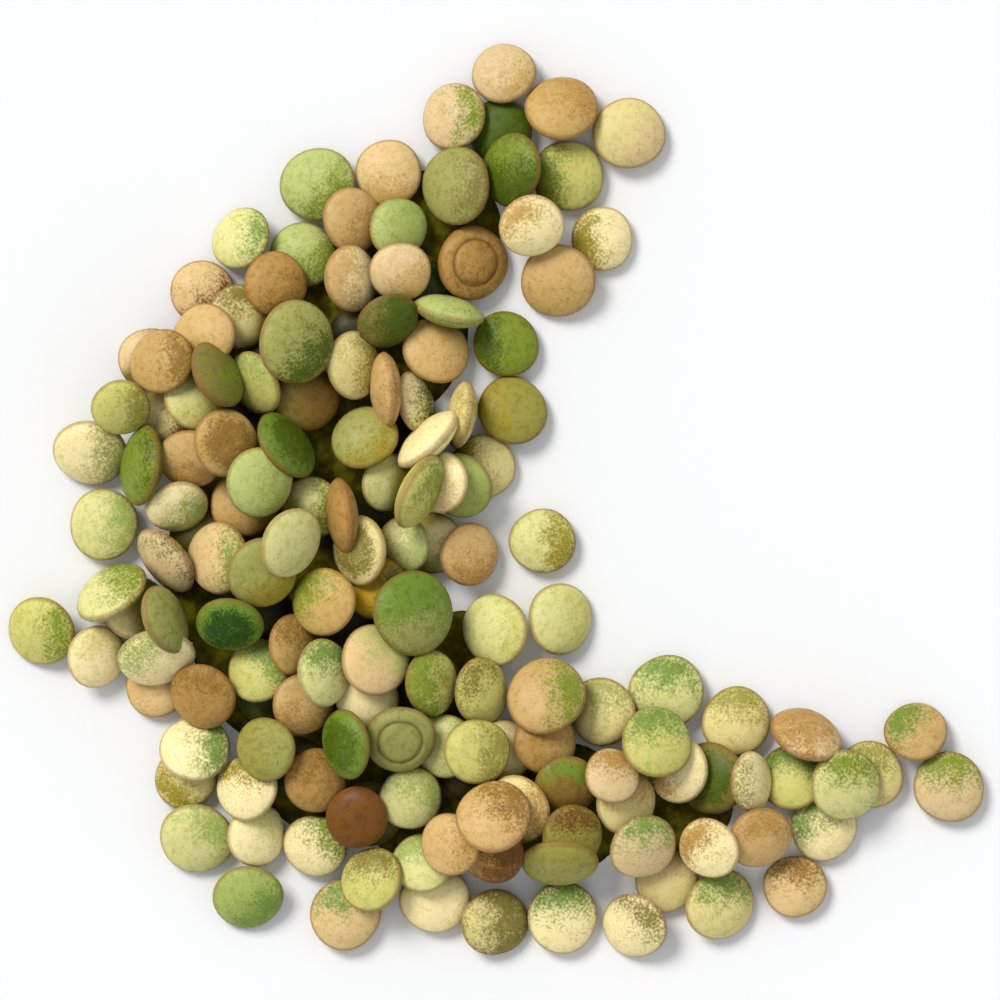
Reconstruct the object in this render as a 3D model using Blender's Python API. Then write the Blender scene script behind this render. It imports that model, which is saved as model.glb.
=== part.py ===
"""A crescent-shaped heap of dry green lentils, with one lentil lying just clear of it.

The heap is a low core with the lentils that show fused on, each laid on what is already there.
Metres, +Z up. The origin is on the ground, under the middle of the heap.
"""

import math

import bmesh
import bpy
import numpy as np
from mathutils import Matrix, Vector

# Driving dimensions. The design is worked out in millimetres and degrees, and built in metres
MM = 0.001
THICKNESS_RATIO = 0.385
LENTIL_SIDES = 8
LENTIL_SHOULDER = (0.62, 0.80)

# How a lentil is laid: how far it sinks into what carries it, how much of a steep one stays in view, and how
# steeply one settles by itself
SINK = 0.7
GROUND_SINK = 0.15
LEANING_SINK = 1.0
STEEP = 45
STEEP_SHOWN = 0.86
CORE_BEDDING = 1.3
SETTLING_LEANS = [0, 6, 12, 18, 24]
SETTLING_HEADINGS = range(0, 360, 30)

# The lentils that a rule lays: a layer under those placed by hand, and then in the holes between them
UNDER_SEED = 7
UNDER_SPACING = 6.2
UNDER_EDGE_HEIGHT = 3.6
HOLES_SEED = 11
HOLES_SPACING = 4.7
HOLES_EDGE_HEIGHT = 3.0
RULE_GRID = 1.1
RULE_ACROSS = (5.5, 6.5)

# The grid that holds the heap's height, seen from above
CELL = 0.25
HALF_SPAN = 46.0

# The core is a chain of low domes from the upper horn to the right one: x, y, radius, height
SPINE_DOMES = [
    (3.5, 32.0, 6.5, 1.8),
    (-5.0, 24.5, 10.0, 3.0),
    (-11.5, 15.5, 13.5, 4.4),
    (-17.0, 6.0, 16.0, 5.4),
    (-18.5, -4.0, 15.5, 5.8),
    (-17.5, -13.0, 14.5, 5.8),
    (-12.5, -21.0, 15.0, 5.4),
    (-5.0, -26.5, 12.0, 4.6),
    (6.0, -28.0, 10.5, 3.6),
    (17.0, -27.5, 9.0, 2.8),
    (27.0, -27.0, 6.0, 2.0),
    (36.8, -23.8, 3.6, 1.4),
]

# Lower domes carry the core out to where the heap bulges and under lentils at its edge
SIDE_DOMES = [
    (-17.0, 23.5, 6.5, 1.8),
    (6.0, 25.0, 5.0, 1.4),
    (-35.0, -11.5, 6.0, 1.5),
    (-22.0, -29.5, 7.5, 2.2),
    (21.5, -32.0, 6.0, 1.6),
    (8.5, 32.0, 4.0, 1.5),
    (2.5, -11.8, 3.5, 1.5),
    (0.0, -35.0, 4.5, 1.8),
    (-1.0, 8.5, 4.0, 1.6),
    (-33.0, -2.0, 4.0, 1.5),
    (3.8, 21.6, 4.5, 1.6),
    (15.0, -20.5, 4.5, 1.6),
]
CORE_DOMES = SPINE_DOMES + SIDE_DOMES
DOME_SIDES = 12
DOME_SHOULDER = 0.6
BELOW_GROUND = 1.0

# The lentils placed by hand: x, y, width across, and for one that leans, its lean and the turn of its
# long side as seen from above. First those on the ground, which give the heap its uneven edge:
RIM = [
    (0.4, 33.2, 6.0), (-5.8, -4.0, 5.8), (-28.0, -25.2, 5.8), (15.4, -34.4, 6.0), (0.7, 38.4, 6.0),
    (-3.8, 34.5, 6.3), (-9.7, 29.4, 6.2), (-16.1, 28.4, 6.9), (-23.0, 23.5, 6.0, 32, 65),
    (-26.5, 18.7, 6.0), (-31.2, 12.6, 6.0), (-36.6, 4.2, 6.8, 30, -12), (-35.4, -2.3, 6.5),
    (-41.0, -11.9, 6.6, 25, -50), (-36.0, -14.2, 5.8), (-30.6, -16.8, 6.0), (-27.1, -22.5, 6.4),
    (-27.0, -30.6, 6.8), (-21.6, -30.3, 5.8), (-22.4, -35.9, 6.5), (-13.6, -37.5, 6.6), (-5.5, -36.1, 6.5),
    (-0.1, -38.2, 6.4), (6.0, -37.8, 6.6), (12.5, -38.5, 6.2), (20.2, -36.6, 6.6), (27.0, -35.0, 5.8),
    (29.6, -29.6, 6.3), (33.8, -24.9, 6.2), (40.9, -26.0, 6.6), (37.9, -21.0, 5.8), (21.7, -20.1, 6.4),
    (15.4, -17.4, 6.9), (9.6, -19.2, 6.4), (-0.1, -11.8, 6.7, 28, 90), (5.8, -10.8, 6.5), (-2.4, -5.0, 5.8),
    (-1.2, 2.9, 6.0), (1.5, 8.0, 6.4), (0.9, 14.0, 6.1), (9.6, 23.5, 5.8), (6.5, 29.2, 6.6),
    (12.0, 33.0, 6.7), (5.6, 19.7, 7.0),
]

# Those that show in part, the lowest first:
BETWEEN = [
    (-17.4, 22.0, 6.2), (-23.0, 16.4, 6.0), (-7.2, 8.6, 6.0, 62, 105), (-3.1, 7.6, 6.4, 76, 80),
    (-9.6, 1.5, 5.5), (-3.4, 1.2, 6.4), (-8.4, -4.2, 5.4), (-29.6, 7.6, 5.8), (-26.9, 8.9, 6.0),
    (-27.4, 3.6, 5.8), (-17.0, 9.0, 6.2), (-16.6, -0.8, 5.8), (-22.6, -0.3, 6.4), (-32.6, -9.8, 6.2),
    (-10.8, -8.0, 6.0), (-11.6, -17.8, 6.0), (-4.7, -22.2, 6.0), (0.8, -22.6, 5.8), (4.4, -21.8, 6.2),
    (6.3, -25.8, 6.0), (1.9, -27.8, 6.4), (-0.4, -31.6, 6.2), (6.8, -30.2, 6.0), (-6.6, -32.7, 5.8),
    (26.8, -25.0, 6.4), (19.4, -25.2, 6.8, 30, 90), (16.3, -24.3, 6.2), (11.7, -27.3, 6.0),
    (13.2, -31.2, 6.3), (-12.9, 25.1, 6.0, 26, 90), (-8.8, 24.4, 5.6), (-13.0, 19.8, 6.2, 40, 90),
    (-26.2, 14.6, 6.2), (-5.4, 13.4, 6.4), (-12.8, 12.0, 6.2, 40, 90), (-11.8, 5.5, 6.2),
    (-5.0, 1.5, 5.8, 30, 90), (-12.2, -4.6, 6.4, 40, 90), (-21.6, 10.4, 6.2, 50, -60),
    (-28.6, -0.7, 5.7, 38, 20), (-24.9, -5.3, 6.8, 34, 90), (-20.9, -6.6, 6.6), (-30.5, -14.2, 7.1, 45, 8),
    (-21.3, -15.4, 5.9), (-18.1, -13.1, 5.6, 35, 90), (-17.3, -18.4, 5.9), (-15.4, -15.5, 6.2, 42, 90),
    (-15.4, -9.2, 6.4, 25, 90), (-10.8, -14.4, 6.6), (-5.8, -16.5, 6.2, 44, 90), (-1.3, -17.3, 6.2, 38, 90),
    (-22.4, -26.0, 6.0), (-16.2, -25.3, 6.0), (-7.7, -26.9, 5.8), (-4.1, -30.9, 5.8), (-16.3, -31.3, 5.9),
    (22.9, -25.4, 5.6, 48, 90), (10.4, -24.8, 5.2), (23.7, -30.4, 6.0), (19.1, -31.3, 5.7),
]

# Those that lie on the others:
TOP = [
    (5.9, 35.2, 6.9, 30, -5), (1.4, 29.6, 6.8, 40, 90), (-3.6, 28.2, 7.2, 30, 85), (3.2, 24.5, 6.0),
    (-2.1, 21.3, 6.8), (-8.6, 20.4, 5.6), (-19.8, 19.3, 6.0), (-17.8, 14.0, 7.6, 28, 90),
    (-29.9, 12.3, 6.2), (-33.6, 8.2, 5.6, 30, 5), (-24.1, 5.0, 6.3), (-21.1, 1.5, 6.5), (-26.3, -17.7, 6.3),
    (-7.4, -10.2, 8.0, 28, 90), (4.5, -17.7, 7.4, 24, 15), (-20.6, -22.4, 5.8), (-12.5, -28.6, 5.8),
    (-8.6, -21.5, 6.5), (-1.7, -22.6, 6.1), (-0.2, -28.3, 7.0, 28, 10), (-11.2, -34.2, 6.0),
    (14.4, -21.8, 6.7), (31.4, -25.7, 6.7),
]

# And those that lean or stand on edge:
LEANING = [
    (-4.2, 16.9, 6.6, 74, -14), (-9.9, 9.8, 6.9, 76, -85), (-6.1, 5.3, 7.2, 74, 42),
    (-6.8, 0.6, 7.2, 68, 62), (-13.8, -1.5, 7.0, 76, -84), (-24.9, 11.1, 6.6, 58, -60),
    (-31.8, 3.0, 7.3, 60, 82), (-18.8, 4.8, 6.8, 58, -55), (-29.7, -5.5, 6.8, 58, -50),
    (-29.6, -10.8, 6.6, 62, -70), (-34.6, -8.4, 7.4, 58, 32), (-23.8, -11.2, 6.3, 42, 0),
    (-13.4, -21.9, 6.4, 48, 100), (5.7, -32.6, 7.0, 54, 0), (27.9, -21.2, 7.0, 55, -22),
    (-9.7, 16.0, 5.8, 40, 25), (-18.3, -3.9, 6.6, 46, 62),
]

# The lentil that lies clear of the heap: x, y, width across
APART = (4.2, -3.8, 6.1)

COLOURS = {"heap": (0.42, 0.40, 0.14), "apart": (0.52, 0.52, 0.22)}
ROUGHNESS = 0.6


def core_height(x, y):
    """Height of the core above the ground over the points x, y."""
    height = np.zeros(np.shape(x))
    for dome_x, dome_y, radius, top in CORE_DOMES:
        squared = ((x - dome_x) ** 2 + (y - dome_y) ** 2) / radius**2
        height = np.maximum(height, top * (1 - squared))
    return height


def tilted(lean, heading):
    """Unit vector that leans from upright towards a compass heading."""
    lean, heading = math.radians(lean), math.radians(heading)
    return np.array([math.sin(lean) * math.cos(heading), math.sin(lean) * math.sin(heading), math.cos(lean)])


class Pile:
    """The height of everything laid so far, on a fine grid, and the lentils that lie on it."""

    def __init__(self, height_at):
        edge = np.arange(-HALF_SPAN, HALF_SPAN, CELL)
        self.x, self.y = np.meshgrid(edge, edge, indexing="ij")
        self.height = height_at(self.x, self.y)
        self.lentils = []

    def window(self, x, y, radius):
        """The part of the grid that a lentil at x, y can cover."""
        first = [max(0, int((place - radius + HALF_SPAN) / CELL)) for place in (x, y)]
        last = [int((place + radius + HALF_SPAN) / CELL) + 2 for place in (x, y)]
        return slice(first[0], last[0]), slice(first[1], last[1])

    def sheets(self, x, y, across, normal):
        """Where a lentil covers the grid, and its lower and upper face there, from its middle."""
        radius, half_thick = across / 2, across * THICKNESS_RATIO / 2
        area = self.window(x, y, radius)
        u, v = self.x[area] - x, self.y[area] - y
        along = np.outer(normal, normal)
        form = along / half_thick**2 + (np.eye(3) - along) / radius**2
        tilt = (form[0, 2] * u + form[1, 2] * v) / form[2, 2]
        flat = (form[0, 0] * u**2 + 2 * form[0, 1] * u * v + form[1, 1] * v**2 - 1) / form[2, 2]
        reach = tilt**2 - flat
        half = np.sqrt(np.maximum(reach, 0))
        return area, reach > 0, -tilt - half, half - tilt

    def resting_height(self, x, y, across, normal, sink, shown):
        """Height of a lentil's middle when it rests on the pile, or lower if enough of it stays in view."""
        area, covered, lower, upper = self.sheets(x, y, across, normal)
        under = self.height[area][covered]
        rest = (under - lower[covered]).max() - sink
        if shown is None:
            return float(rest)
        return float(min(rest, np.quantile(under - upper[covered], shown)))

    def lay(self, x, y, across, normals, sink=SINK, shown=None):
        """Lay a lentil the way up, of those given, that brings it lowest."""
        heights = [self.resting_height(x, y, across, normal, sink, shown) for normal in normals]
        best = int(np.argmin(heights))
        area, covered, _, upper = self.sheets(x, y, across, normals[best])
        z = max(heights[best], self.ground_height(across, normals[best]))
        self.height[area] = np.where(covered, np.maximum(self.height[area], z + upper), self.height[area])
        self.lentils.append((x, y, z, across, normals[best]))

    def lay_rows(self, rows):
        """Lay lentils placed by hand; one with a lean keeps it, and the others settle."""
        for x, y, across, *leaning in rows:
            if leaning:
                lean, turn = leaning
                shown = STEEP_SHOWN if lean > STEEP else None
                normals = [tilted(lean, turn + 90), tilted(lean, turn - 90)]
                self.lay(x, y, across, normals, LEANING_SINK, shown)
            else:
                self.lay(x, y, across, settling_normals())

    def lay_by_rule(self, taken, seed, spacing, edge_height):
        """Lay lentils over the core, each as far as possible from the places that are taken."""
        rng = np.random.default_rng(seed)
        edge = np.arange(-HALF_SPAN, HALF_SPAN, RULE_GRID)
        x, y = (grid.ravel() for grid in np.meshgrid(edge, edge))
        x, y = (grid + rng.uniform(-0.5, 0.5, grid.size) * RULE_GRID for grid in (x, y))
        keep = core_height(x, y) > edge_height
        x, y = x[keep], y[keep]
        gap = np.full(x.size, np.inf)
        for row in taken:
            gap = np.minimum(gap, np.hypot(x - row[0], y - row[1]))
        normals = settling_normals()
        while gap.max() > spacing:
            spot = int(np.argmax(gap))
            self.lay(x[spot], y[spot], rng.uniform(*RULE_ACROSS), normals)
            gap = np.minimum(gap, np.hypot(x - x[spot], y - y[spot]))

    @staticmethod
    def ground_height(across, normal):
        """Height of the middle of a lentil that presses a little into the ground, for a flat foot."""
        radius, half_thick = across / 2, across * THICKNESS_RATIO / 2
        tilt = math.sqrt(1 - min(1.0, normal[2] ** 2))
        return math.hypot(half_thick * normal[2], radius * tilt) - GROUND_SINK


def settling_normals():
    """The ways up that a lentil can settle to by itself."""
    return [tilted(lean, heading) for lean in SETTLING_LEANS for heading in SETTLING_HEADINGS]


def laid_heap():
    """Every lentil of the heap: x, y, z, width across and the way its flat side faces."""
    pile = Pile(lambda x, y: np.maximum(core_height(x, y) - CORE_BEDDING, 0))
    pile.lay_rows(RIM)
    pile.lay_by_rule(RIM, UNDER_SEED, UNDER_SPACING, UNDER_EDGE_HEIGHT)
    pile.lay_rows(BETWEEN)
    pile.lay_by_rule(RIM + BETWEEN + TOP + LEANING, HOLES_SEED, HOLES_SPACING, HOLES_EDGE_HEIGHT)
    pile.lay_rows(TOP)
    pile.lay_rows(LEANING)
    return pile.lentils


def ring(bm, sides, radius, z, turn=0.0):
    """A ring of vertices round +Z."""
    angles = [turn + 2 * math.pi * side / sides for side in range(sides)]
    return [bm.verts.new((radius * math.cos(angle), radius * math.sin(angle), z)) for angle in angles]


def bridge(bm, lower, upper):
    """A band of faces between two rings."""
    for side in range(len(lower)):
        after = (side + 1) % len(lower)
        bm.faces.new((lower[side], lower[after], upper[after], upper[side]))


def cap(bm, loop, z):
    """Close a ring with a fan to a point on the axis."""
    tip = bm.verts.new((0, 0, z))
    for side in range(len(loop)):
        bm.faces.new((loop[side], loop[(side + 1) % len(loop)], tip))


def new_object(name, bm, placing, collection):
    """Turn a bmesh into an object whose mesh is placed already."""
    bm.transform(placing)
    bmesh.ops.recalc_face_normals(bm, faces=bm.faces)
    mesh = bpy.data.meshes.new(name)
    bm.to_mesh(mesh)
    bm.free()
    obj = bpy.data.objects.new(name, mesh)
    collection.objects.link(obj)
    return obj


def add_dome(dome, collection):
    """One dome of the core, carried a little below the ground so that the cut there is clean."""
    x, y, radius, top = dome
    bm = bmesh.new()
    foot = radius * math.sqrt(1 + BELOW_GROUND / top)
    edge = ring(bm, DOME_SIDES, foot, -BELOW_GROUND)
    shoulder = ring(bm, DOME_SIDES, radius * DOME_SHOULDER, top * (1 - DOME_SHOULDER**2))
    bridge(bm, edge, shoulder)
    cap(bm, shoulder, top)
    bm.faces.new(reversed(edge))
    placing = Matrix.Scale(MM, 4) @ Matrix.Translation((x, y, 0))
    return new_object("core_dome", bm, placing, collection)


def add_lentil(name, lentil, collection):
    """One lentil: a lens with few sides, drawn round the true one so that neighbours meet."""
    x, y, z, across, normal = lentil
    radius, half_thick = across / 2 / math.cos(math.pi / LENTIL_SIDES), across * THICKNESS_RATIO / 2
    share, rise = LENTIL_SHOULDER
    bm = bmesh.new()
    edge = ring(bm, LENTIL_SIDES, radius, 0)
    shoulder = ring(bm, LENTIL_SIDES, radius * share, half_thick * rise)
    bridge(bm, edge, shoulder)
    cap(bm, shoulder, half_thick)
    cap(bm, edge, -half_thick)
    turn = Vector((0, 0, 1)).rotation_difference(Vector(normal)).to_matrix().to_4x4()
    placing = Matrix.Scale(MM, 4) @ Matrix.Translation((x, y, z)) @ turn
    return new_object(name, bm, placing, collection)


def add_slab():
    """The ground as a solid, which cuts everything flat underneath."""
    bm = bmesh.new()
    bmesh.ops.create_cube(bm, size=1.0)
    size = (3 * HALF_SPAN, 3 * HALF_SPAN, 2 * HALF_SPAN)
    placing = Matrix.Scale(MM, 4) @ Matrix.Diagonal((*size, 1)) @ Matrix.Translation((0, 0, -0.5))
    slab = new_object("ground", bm, placing, bpy.context.scene.collection)
    slab.hide_render = True
    slab.display_type = "WIRE"
    return slab


def apply_modifiers(obj):
    """Replace an object's mesh by what its modifiers make of it."""
    bpy.context.view_layer.update()
    shaped = obj.evaluated_get(bpy.context.evaluated_depsgraph_get())
    mesh = bpy.data.meshes.new_from_object(shaped)
    obj.modifiers.clear()
    obj.data = mesh


def cut_flat(obj, slab):
    """Cut away what is below the ground."""
    cut = obj.modifiers.new("flat underside", "BOOLEAN")
    cut.operation = "DIFFERENCE"
    cut.solver = "MANIFOLD"
    cut.object = slab
    apply_modifiers(obj)


def islands(bm):
    """The separate shells of a mesh, as lists of faces."""
    left = set(bm.faces)
    shells = []
    while left:
        shell, edge_of_search = [], [left.pop()]
        while edge_of_search:
            face = edge_of_search.pop()
            shell.append(face)
            near = {other for edge in face.edges for other in edge.link_faces} & left
            left -= near
            edge_of_search += near
        shells.append(shell)
    return shells


def keep_main_shell(obj):
    """Fill hollows that the fusing sealed and drop loose scraps: only the largest shell stays."""
    bm = bmesh.new()
    bm.from_mesh(obj.data)
    shells = sorted(islands(bm), key=len)
    for shell in shells[:-1]:
        bmesh.ops.delete(bm, geom=shell, context="FACES")
    bmesh.ops.triangulate(bm, faces=bm.faces)
    bm.to_mesh(obj.data)
    bm.free()


def finish_piece(obj, name, colour):
    """Give a finished solid its name, its smooth shading and its own material."""
    obj.name = name
    obj.data.name = name
    obj.data.shade_smooth()
    obj.data.set_sharp_from_angle(angle=math.radians(35))
    material = bpy.data.materials.new(name)
    material.use_nodes = True
    surface = material.node_tree.nodes["Principled BSDF"]
    surface.inputs["Base Color"].default_value = (*colour, 1)
    surface.inputs["Roughness"].default_value = ROUGHNESS
    surface.inputs["Metallic"].default_value = 0.0
    obj.data.materials.clear()
    obj.data.materials.append(material)


def build_heap(slab):
    """The heap as one solid: the domes and the lentils, fused."""
    scene_objects = bpy.context.scene.collection
    pieces = bpy.data.collections.new("heap pieces")
    scene_objects.children.link(pieces)
    heap = add_dome(CORE_DOMES[0], scene_objects)
    for dome in CORE_DOMES[1:]:
        add_dome(dome, pieces)
    for lentil in laid_heap():
        add_lentil("lentil", lentil, pieces)
    fuse = heap.modifiers.new("fuse", "BOOLEAN")
    fuse.operation = "UNION"
    fuse.solver = "MANIFOLD"
    fuse.operand_type = "COLLECTION"
    fuse.collection = pieces
    apply_modifiers(heap)
    for piece in list(pieces.objects):
        bpy.data.objects.remove(piece)
    bpy.data.collections.remove(pieces)
    cut_flat(heap, slab)
    keep_main_shell(heap)
    finish_piece(heap, "lentil_heap", COLOURS["heap"])


def build_apart(slab):
    """The lentil that lies by itself on the ground."""
    x, y, across = APART
    upright = tilted(0, 0)
    lentil = (x, y, Pile.ground_height(across, upright), across, upright)
    obj = add_lentil("lentil", lentil, bpy.context.scene.collection)
    cut_flat(obj, slab)
    finish_piece(obj, "lentil_apart", COLOURS["apart"])


def main():
    for obj in list(bpy.data.objects):
        bpy.data.objects.remove(obj)
    slab = add_slab()
    build_heap(slab)
    build_apart(slab)
    bpy.data.objects.remove(slab)


main()
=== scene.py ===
"""A crescent-shaped heap of dry green lentils on a pale floor, with one lentil lying clear of it.

Every lentil is modelled at its true size and laid on what is already there. The design is in
millimetres and degrees, and is built in metres. +Y is up in the picture.
"""

import math

import bpy
import numpy as np
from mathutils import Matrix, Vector


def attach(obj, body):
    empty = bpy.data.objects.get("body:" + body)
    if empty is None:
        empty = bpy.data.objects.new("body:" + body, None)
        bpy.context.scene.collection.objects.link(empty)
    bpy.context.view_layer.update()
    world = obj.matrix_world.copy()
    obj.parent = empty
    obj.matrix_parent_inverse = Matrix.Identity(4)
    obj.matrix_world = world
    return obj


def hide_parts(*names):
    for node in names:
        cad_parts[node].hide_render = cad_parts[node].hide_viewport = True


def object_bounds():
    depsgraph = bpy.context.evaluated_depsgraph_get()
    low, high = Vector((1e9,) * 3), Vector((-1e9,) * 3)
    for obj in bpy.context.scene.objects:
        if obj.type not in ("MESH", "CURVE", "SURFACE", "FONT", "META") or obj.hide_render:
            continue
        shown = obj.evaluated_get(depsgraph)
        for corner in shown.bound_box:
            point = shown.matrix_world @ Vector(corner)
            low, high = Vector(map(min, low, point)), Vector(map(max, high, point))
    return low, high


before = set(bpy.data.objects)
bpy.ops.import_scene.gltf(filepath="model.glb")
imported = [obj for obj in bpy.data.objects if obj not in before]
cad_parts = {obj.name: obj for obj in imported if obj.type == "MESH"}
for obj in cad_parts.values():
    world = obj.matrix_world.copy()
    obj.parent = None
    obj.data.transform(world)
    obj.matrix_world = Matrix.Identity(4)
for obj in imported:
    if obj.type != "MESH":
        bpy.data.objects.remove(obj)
cad_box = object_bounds()

MM = 0.001

# The form of one lentil
FORM_SEED = 21
THICKNESS_RATIO = 0.385
LENTIL_SIDES = 32
LENTIL_RINGS = [0.18, 0.35, 0.48, 0.56, 0.62, 0.68, 0.78, 0.88, 0.94, 0.985, 1.0]
LENS_POWER = 0.62
OUTLINE_WAVES = {2: 0.02, 3: 0.012, 4: 0.006}
WIDEST = 1.012
SLANT = 0.05
PHASES = (0, 7)
PITS = 3
PIT_PLACES = (0.1, 0.8)
PIT_DEPTH = (0.03, 0.09)
PIT_WIDTH = (0.16, 0.34)
CREASE_AT = 0.62
CREASE_WIDTH = 0.045
CREASE_DEPTH = 0.16
# How much painted shade lies along the crease
CREASE_SHADE = 0.75

# Painted shade: how far round a point the heap's height is averaged, how deep below it the coat is painted
# darkest, and the tint it is darkened by
PAINTED_SHADE_REACH = 1.75
PAINTED_SHADE_DEPTH = (0.6, 3.0)
PAINTED_SHADE_TINT = (0.26, 0.24, 0.07)

# How a lentil is laid: how far it sinks into what carries it, and how much of a steep one stays in view
SINK = 0.12
LEANING_SINK = 0.6
STEEP = 50
STEEP_SHOWN = 0.98
SETTLING_LEANS = [0, 6, 12, 18, 24]
SETTLING_HEADINGS = range(0, 360, 30)

# The grid that holds the heap's height, seen from above
CELL = 0.25
HALF_SPAN = 46.0

# The core that the heap lies on is a chain of low domes: x, y, radius, height
SPINE_DOMES = [
    (3.5, 32.0, 6.5, 1.8), (-5.0, 24.5, 10.0, 3.0), (-11.5, 15.5, 13.5, 4.4), (-17.0, 6.0, 16.0, 5.4),
    (-18.5, -4.0, 15.5, 5.8), (-17.5, -13.0, 14.5, 5.8), (-12.5, -21.0, 15.0, 5.4), (-5.0, -26.5, 12.0, 4.6),
    (6.0, -28.0, 10.5, 3.6), (17.0, -27.5, 9.0, 2.8), (27.0, -27.0, 6.0, 2.0), (36.8, -23.8, 3.6, 1.4),
]
SIDE_DOMES = [
    (-17.0, 23.5, 6.5, 1.8), (6.0, 25.0, 5.0, 1.4), (-35.0, -11.5, 6.0, 1.5), (-22.0, -29.5, 7.5, 2.2),
    (21.5, -32.0, 6.0, 1.6), (8.5, 32.0, 4.0, 1.5), (2.5, -11.8, 3.5, 1.5), (0.0, -35.0, 4.5, 1.8),
    (-1.0, 8.5, 4.0, 1.6), (-33.0, -2.0, 4.0, 1.5), (3.8, 21.6, 4.5, 1.6), (15.0, -20.5, 4.5, 1.6),
]
CORE_DOMES = SPINE_DOMES + SIDE_DOMES

# How much of the domes' height carries lentils, and how far inside the domes the dark core ends
CORE_SHARE = 0.2
CORE_INSET = 4.5

# Two more gaps with the dark core's painted shade in them: x, y, radius, height
GAP_SHADE = [(-3.1, -13.1, 3.0, 0.5), (-27.9, -10.0, 3.0, 0.5)]

# The sides and rings of one patch of the dark core
CORE_SIDES = 48
CORE_RINGS = 8

# The lentils that a rule lays under the listed ones
UNDER_SEED = 7
UNDER_SPACING = 6.2
UNDER_EDGE_HEIGHT = 3.6
UNDER_GRID = 1.1
UNDER_ACROSS = (5.5, 6.5)
# UNDER_SHADE darkens these lentils' coats: painted shade for lying under the others
UNDER_SHADE = 0.35
UNDER_COATS = ["olive", "moss", "mustard", "leaf", "umber", "forest"]

# The coats of the lentils: the kind they belong to, and their colour as red, green and blue of 255
COATS = {
    "cream": ("pale", (242, 224, 166)),
    "straw": ("pale", (218, 202, 134)),
    "sand": ("pale", (216, 188, 138)),
    "peach": ("pale", (218, 186, 130)),
    "tan": ("tan", (204, 168, 108)),
    "ochre": ("tan", (194, 158, 92)),
    "brown": ("brown", (174, 134, 70)),
    "umber": ("brown", (144, 108, 46)),
    "rust": ("brown", (114, 72, 20)),
    "mint": ("light green", (212, 206, 136)),
    "lime": ("light green", (182, 190, 112)),
    "pear": ("light green", (200, 192, 108)),
    "jade": ("light green", (160, 172, 90)),
    "gold": ("olive", (206, 164, 24)),
    "mustard": ("olive", (152, 136, 40)),
    "olive": ("olive", (150, 142, 62)),
    "moss": ("olive", (130, 118, 54)),
    "sage": ("olive", (156, 154, 84)),
    "leaf": ("green", (124, 138, 40)),
    "green": ("green", (108, 134, 42)),
    "fern": ("green", (118, 142, 62)),
    "forest": ("green", (76, 94, 10)),
    "pine": ("green", (34, 74, 0)),
}

# What differs between the kinds: how strong the mottles and specks are, and how dark they make the coat
KINDS = {
    "pale": {"mottles": 0.55, "mottle_tint": (0.80, 0.80, 0.62), "specks": 0.5},
    "tan": {"mottles": 0.55, "mottle_tint": (0.78, 0.72, 0.56), "specks": 0.6},
    "brown": {"mottles": 0.6, "mottle_tint": (0.66, 0.60, 0.46), "specks": 0.7},
    "light green": {"mottles": 0.6, "mottle_tint": (0.70, 0.78, 0.52), "specks": 0.5},
    "olive": {"mottles": 0.6, "mottle_tint": (0.68, 0.70, 0.46), "specks": 0.6},
    "green": {"mottles": 0.6, "mottle_tint": (0.58, 0.66, 0.42), "specks": 0.6},
}
SPECK_COLOUR = (74, 54, 20)
EDGE_COLOUR = (128, 84, 40)
# The heap's dark core is painted shade between the lentils
CORE_SHADE_COLOUR = (64, 60, 8)

# Where the second colour lies: from its side to where it ends, from the middle out, and towards the edge
BLUSH_SPREAD = (-0.5, 0.85)
BLUSH_MIDDLE = (0.5, 1.0)
BLUSH_EDGE = (0.7, 1.0)
BLUSH_FADE = 0.4

# Two patterns that break up the second colour's edge: scale per millimetre, detail, strength
CLOUDS = (0.7, 2, 0.18)
STIPPLE = (4.2, 6, 0.34)

# The part of a pattern's range that counts, and from where to where the second colour sets in
PATTERN_RANGE = (0.3, 0.7)
BLUSH_SETS_IN = (0.05, 1.0)

# Mottles and specks: scale per millimetre, detail, and from where to where they set in
MOTTLES = (1.5, 4, 0.47, 0.66)
SPECKS = (4.5, 3, 0.58, 0.72)

# How far the mottles are twisted, and how strong the specks are where only the first colour shows
MOTTLE_DISTORTION = 0.4
SPECKS_ON_FIRST = 0.5

# The darker edge of the coat: from where to where it sets in, and its strength
DARK_EDGE = (0.9, 0.985, 0.55)

# The skin: roughness without and with mottles, gloss, and the relief's scale, detail, strength and depth
ROUGHNESS = (0.46, 0.62)
GLOSS = 0.2
SKIN_RELIEF = (4.0, 5, 0.25, 0.05)

# How lentils of one coat differ: in brightness, and in where their grain starts, in millimetres
SHADE_SPREAD = 0.04
GRAIN_SPREAD = 500

# The dark core's crumbs: scale per metre, detail, and from where to where they set in
CRUMBS = (900, 4, 0.4, 0.65)

# How much lighter the crumbs are, their relief's strength and depth in millimetres, and the dark core's skin
CRUMB_LIGHT = 2.2
CRUMB_RELIEF = (0.6, 0.3)
CORE_ROUGHNESS = 0.85
CORE_GLOSS = 0.05

# Compass sides in the picture, for the side of a lentil that its second colour spreads from
SIDES = {
    "N": (0, 1), "NE": (0.7, 0.7), "E": (1, 0), "SE": (0.7, -0.7),
    "S": (0, -1), "SW": (-0.7, -0.7), "W": (-1, 0), "NW": (-0.7, 0.7), "C": (0, 0),
}
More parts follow.
